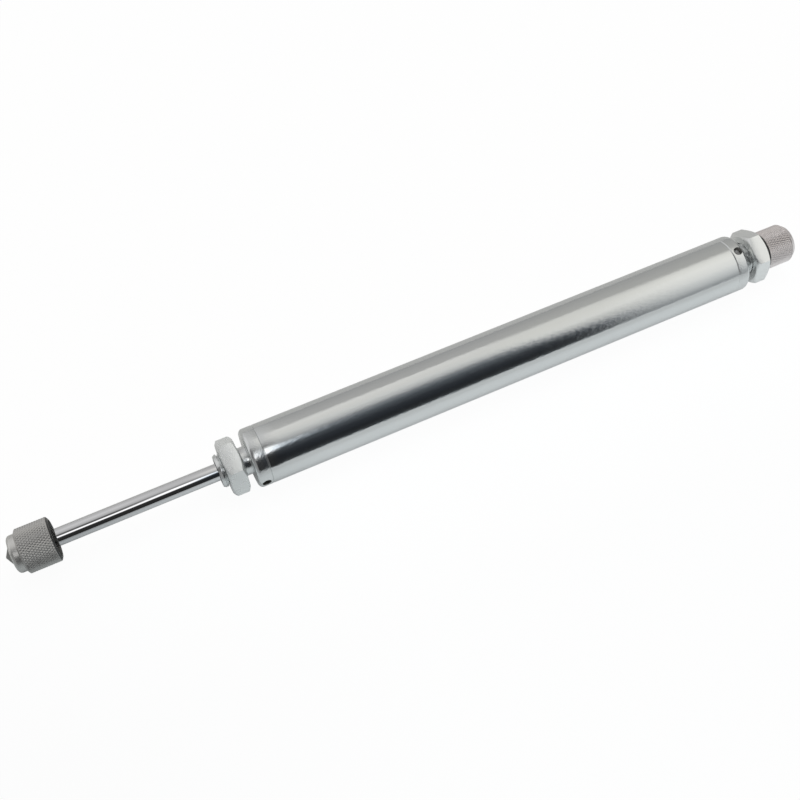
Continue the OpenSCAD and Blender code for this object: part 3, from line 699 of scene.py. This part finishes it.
# the rim stays a little inside the sleeve's box
rim = sleeve_high.x - 0.1
limit, along = knurl_limit(sleeve_radius, sleeve_teeth, 0.28, sleeve_low.x, rim - chamfer_length)
outline = rounded([
    (sleeve_low.x, core_radius),
    (sleeve_low.x, sleeve_radius - chamfer_depth, 0.1),
    (sleeve_low.x + chamfer_length, sleeve_radius),
    (rim - chamfer_length, sleeve_radius),
    (rim, sleeve_radius - chamfer_depth, 0.05),
    (rim, core_radius + 0.1, 0.05),
    (rim - 0.1, core_radius),
])
outline = finely(outline, sleeve_low.x, sleeve_high.x, along / 14, core_radius + 0.3)
sleeve = to_object("diamond_sleeve", turned(outline, around=sleeve_teeth * 8, limit=limit),
                   knurled_steel, "rod", sharp=30)
sleeve.data.materials.append(painted_shade_steel)
sleeve.data.materials.append(bored_steel)
# the flat of the rim and the recess get bored steel; the chamfer just inside the rim gets the painted
# shade
for face in sleeve.data.polygons:
    x, radius = face.center.x / mm, math.hypot(face.center.y, face.center.z) / mm
    if x > rim - 0.05 or (x > core_high.x and radius < core_radius + 0.2):
        face.material_index = 2
    elif x > rim - 0.7:
        face.material_index = 1
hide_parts("knurled_sleeve")


# Adjusting knob: a knurled metal cap with a warm grey finish, a chamfered end and painted shade
# on its face towards the nut, where the gap to the nut lies in shade. A set screw holds it on the
# spindle.

knob_metal = new_material("knob_metal", (0.885, 0.83, 0.82), 0.35, spread=0.05, patch=1, tone=0.05)
knob_low, knob_high = (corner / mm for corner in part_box("adjusting_knob"))
knob_radius, knob_teeth = 9.75, 54
lip, taper_length, taper_depth = 0.6, 2.4, 1.7
spindle_radius, spindle_depth = 3, 10.7
limit, along = knurl_limit(knob_radius, knob_teeth, 0.32, knob_low.x + 0.9,
                           knob_high.x - taper_length, 0.7)
outline = rounded([
    (knob_low.x, spindle_radius),
    (knob_low.x, knob_radius - lip, 0.05),
    (knob_low.x + lip, knob_radius),
    (knob_high.x - taper_length, knob_radius),
    (knob_high.x, knob_radius - taper_depth, 0.15),
    (knob_high.x, 0),
    (knob_low.x + spindle_depth, 0),
    (knob_low.x + spindle_depth, spindle_radius),
])
outline = finely(outline, knob_low.x, knob_high.x, along / 12, 8)
knob = to_object("knurled_knob", turned(outline, around=knob_teeth * 10, limit=limit), knob_metal,
                 "adjuster", sharp=30)
screw_x = sum(corner.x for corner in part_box("knob_set_screw")) / 2 / mm
# the set screw hole's wall is painted dark as shade in the hole
bore_out(knob, drill(screw_x, -90, 1.5, 2.5, knob_radius, painted_hole_shade))
# the face towards the nut is painted dark as the shade in the gap between knob and nut
knob.data.materials.append(painted_shade_steel)
for face in knob.data.polygons:
    if face.center.x < (knob_low.x + 0.65) * mm:
        face.material_index = 2
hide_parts("adjusting_knob")


# Studio: a pale table that shows white to the camera, with a painted pool of light on it, and a soft
# lamp above it.
# The room around has a dark front, a bright strip above it, a ceiling and a back wall.

def colour_ramp(tree, value, stops):
    """Colours at places from 0 to 1, blended between them."""
    made = tree.nodes.new("ShaderNodeValToRGB")
    while len(made.color_ramp.elements) < len(stops):
        made.color_ramp.elements.new(0.5)
    for stop, (place, colour) in zip(made.color_ramp.elements, stops):
        stop.position = place
        stop.color = (*colour, 1)
    tree.links.new(value, made.inputs["Fac"])
    return made.outputs["Color"]


table_mesh = bpy.data.meshes.new("table_top")
half, table_height = 3.0, cad_box[0].z
table_mesh.from_pydata([(x, y, table_height) for x, y in ((-half, -half), (half, -half), (half, half),
                                                          (-half, half))], [], [(0, 1, 2, 3)])
table = bpy.data.objects.new("table_top", table_mesh)
bpy.context.scene.collection.objects.link(table)
paper = bpy.data.materials.new("table_paper")
paper.use_nodes = True
tree = paper.node_tree
shader = tree.nodes["Principled BSDF"]
shader.inputs["Roughness"].default_value = 0.9
shader.inputs["Specular IOR Level"].default_value = 0.0
# painted pool of light: the paper is coloured paler in front of the object than behind it; places are
# in mm from the axis
place = add(tree, "ShaderNodeTexCoord").outputs["Object"]
spot = add(tree, "ShaderNodeSeparateXYZ", vector=place).outputs
across = add(tree, "ShaderNodeMapRange", value=spot["Y"], from_min=-0.1, from_max=0.1)
painted_light_pool = colour_ramp(tree, across.outputs["Result"], [(0.5 + y / 200, colour) for y, colour in (
    (-90, (0.58, 0.62, 0.635)), (-40, (0.76, 0.82, 0.84)), (-8, (0.80, 0.86, 0.88)),
    (6, (0.72, 0.72, 0.71)), (40, (0.64, 0.64, 0.63)))])
in_front = add(tree, "ShaderNodeMapRange", value=spot["Y"], from_min=0.006, from_max=-0.008)
in_front = in_front.outputs["Result"]
# the painted pool of light also fades a little towards the striker in front
loss = add(tree, "ShaderNodeMapRange", value=spot["X"], from_min=0.04, from_max=-0.12, to_max=0.4)
loss = math_node(tree, "MULTIPLY", loss.outputs["Result"], in_front)
faded = math_node(tree, "SUBTRACT", 1.0, loss)
shade = tree.nodes.new("ShaderNodeVectorMath")
shade.operation = "SCALE"
tree.links.new(painted_light_pool, shade.inputs[0])
tree.links.new(faded, shade.inputs["Scale"])
tree.links.new(shade.outputs["Vector"], shader.inputs["Base Color"])
# the camera sees the paper nearly white, and metal sees its front part a little brighter, as painted
# light glowing from the paper
ray = tree.nodes.new("ShaderNodeLightPath").outputs
white = add(tree, "ShaderNodeEmission", strength=1.03)
seen = math_node(tree, "MULTIPLY", ray["Is Camera Ray"], 0.93)
painted_glow = math_node(tree, "MULTIPLY", in_front, 0.25)
mirrored = math_node(tree, "MULTIPLY", ray["Is Glossy Ray"], painted_glow)
mirrored = math_node(tree, "MULTIPLY", mirrored, math_node(tree, "POWER", faded, 3.0))
mix = tree.nodes.new("ShaderNodeMixShader")
tree.links.new(math_node(tree, "ADD", seen, mirrored), mix.inputs[0])
tree.links.new(shader.outputs["BSDF"], mix.inputs[1])
tree.links.new(white.outputs["Emission"], mix.inputs[2])
tree.links.new(mix.outputs["Shader"], tree.nodes["Material Output"].inputs["Surface"])
table_mesh.materials.append(paper)

world = bpy.data.worlds.new("studio_room")
world.use_nodes = True
bpy.context.scene.world = world
tree = world.node_tree
direction = add(tree, "ShaderNodeTexCoord").outputs["Generated"]
split = add(tree, "ShaderNodeSeparateXYZ", vector=direction).outputs
towards_knob = split["X"]
forward = math_node(tree, "MULTIPLY", split["Y"], -1.0)
angle = math_node(tree, "DIVIDE", math_node(tree, "ARCTAN2", split["Z"], forward), math.pi)


def tints(stops):
    """Colours at angles over the object, from the front horizon (0) to the one behind (180)."""
    return colour_ramp(tree, angle, [(degrees / 180, colour) for degrees, colour in stops])


def greys(stops):
    """The same for one number."""
    return tints([(degrees, (grey, grey, grey)) for degrees, grey in stops])


def step_over(value, low, high):
    """Rises smoothly from 0 to 1 between two values."""
    made = add(tree, "ShaderNodeMapRange", value=value, from_min=low, from_max=high)
    made.interpolation_type = "SMOOTHSTEP"
    return made.outputs["Result"]


# Brightness of the room at angles over the object, for seven directions from the striker's end
# to the knob's: a dark front, then the strip where there is one, the ceiling and the back wall
rooms = [
    [(0, 0.3), (50, 0.25), (70, 0.15), (94, 0.18), (108, 0.65), (140, 0.75), (180, 0.6)],
    [(0, 0.02), (43, 0.03), (51, 0.1), (54.5, 1.35), (66, 1.35), (72, 0.1), (84, 0.12),
     (97, 0.5), (130, 0.7), (160, 0.55), (180, 0.55)],
    [(0, 0.02), (43, 0.03), (53, 0.1), (57.5, 1.35), (75, 1.4), (80, 0.3), (86, 0.25),
     (104, 0.55), (130, 0.6), (180, 0.5)],
    [(0, 0.03), (30, 0.015), (43, 0.035), (58, 0.07), (62, 1.25), (73, 1.25), (76, 0.35),
     (108, 0.73), (125, 0.76), (138, 0.56), (180, 0.43)],
    [(0, 0.45), (4, 0.05), (18, 0.02), (40, 0.035), (58, 0.09), (73, 0.24), (81, 0.49),
     (97, 0.7), (126, 0.78), (131, 0.46), (180, 0.37)],
    [(0, 0.45), (4, 0.25), (10, 0.25), (55, 0.55), (75, 0.79), (119, 0.73), (125, 0.47), (180, 0.37)],
    [(0, 0.45), (4, 0.33), (25, 0.6), (55, 0.84), (85, 0.92), (105, 0.84), (114, 0.7), (119, 0.46),
     (180, 0.38)],
]
# what the light takes on: blue in the dark part of the room, hardly any in the bright part
cool = [(0, (0.92, 1.0, 1.03)), (30, (0.82, 0.95, 1.16)), (60, (0.87, 0.98, 1.1)),
        (80, (0.98, 1.0, 1.0)), (110, (1.01, 1.0, 0.965)), (180, (1.0, 1.0, 1.0))]
warm = [(0, (0.95, 1.0, 1.03)), (60, (1.0, 1.0, 0.97)), (100, (1.01, 1.0, 0.95)),
        (180, (1.0, 1.0, 0.99))]
# the dark front ends at a slanted edge: how far towards the knob it reaches at each angle
reach = greys([(0, 0.405), (28, 0.412), (40, 0.395), (58, 0.352), (97, 0.3), (180, 0.34)])
past_edge = math_node(tree, "SUBTRACT", towards_knob, reach)
steps = [step_over(towards_knob, -0.45, -0.2), step_over(towards_knob, -0.11, 0.01),
         step_over(towards_knob, 0.02, 0.08), step_over(towards_knob, 0.06, 0.135),
         step_over(past_edge, -0.02, 0.02), step_over(towards_knob, 0.39, 0.48)]
room = greys(rooms[0])
for share, stops in zip(steps, rooms[1:]):
    room = blend_colours(tree, "MIX", share, room, greys(stops))
tint = blend_colours(tree, "MIX", steps[2], (1, 1, 1, 1), tints(cool))
tint = blend_colours(tree, "MIX", steps[4], tint, tints(warm))
room = blend_colours(tree, "MULTIPLY", 1.0, room, tint)
# behind the knob's end of the table the room is dark
room = blend_colours(tree, "MIX", step_over(towards_knob, 0.76, 0.88), room, (0.05, 0.055, 0.06, 1))
lit = tree.nodes["Background"]
tree.links.new(room, lit.inputs["Color"])
plain = add(tree, "ShaderNodeBackground", color=(1, 1, 1, 1))
ray = tree.nodes.new("ShaderNodeLightPath").outputs
mix = tree.nodes.new("ShaderNodeMixShader")
tree.links.new(ray["Is Camera Ray"], mix.inputs[0])
tree.links.new(lit.outputs["Background"], mix.inputs[1])
tree.links.new(plain.outputs["Background"], mix.inputs[2])
tree.links.new(mix.outputs["Shader"], tree.nodes["World Output"].inputs["Surface"])

lamp = bpy.data.lights.new("soft_box", "AREA")
lamp.shape = "RECTANGLE"
lamp.size = 1.2
lamp.size_y = 0.9
lamp.energy = 6
soft_box = bpy.data.objects.new("soft_box", lamp)
soft_box.location = (0.35, 0.25, 1.3)
shining_from = soft_box.location - Vector((0.09, 0, 0))
soft_box.rotation_euler = shining_from.to_track_quat("Z", "Y").to_euler()
soft_box.visible_glossy = False
bpy.context.scene.collection.objects.link(soft_box)

view = bpy.data.cameras.new("view")
view.lens = 49.5
view.sensor_width = 36
camera = bpy.data.objects.new("view", view)
azimuth, elevation = math.radians(-25.245), math.radians(59.71)
distance = 510.0
aim = Vector((74.8, -0.757, -0.52)) * mm
back = Vector((math.sin(azimuth) * math.cos(elevation), -math.cos(azimuth) * math.cos(elevation),
               math.sin(elevation)))
camera.location = aim + back * distance * mm
camera.rotation_euler = (math.pi / 2 - elevation, 0, azimuth)
bpy.context.scene.collection.objects.link(camera)
bpy.context.scene.camera = camera
bpy.context.scene.view_settings.view_transform = "Standard"
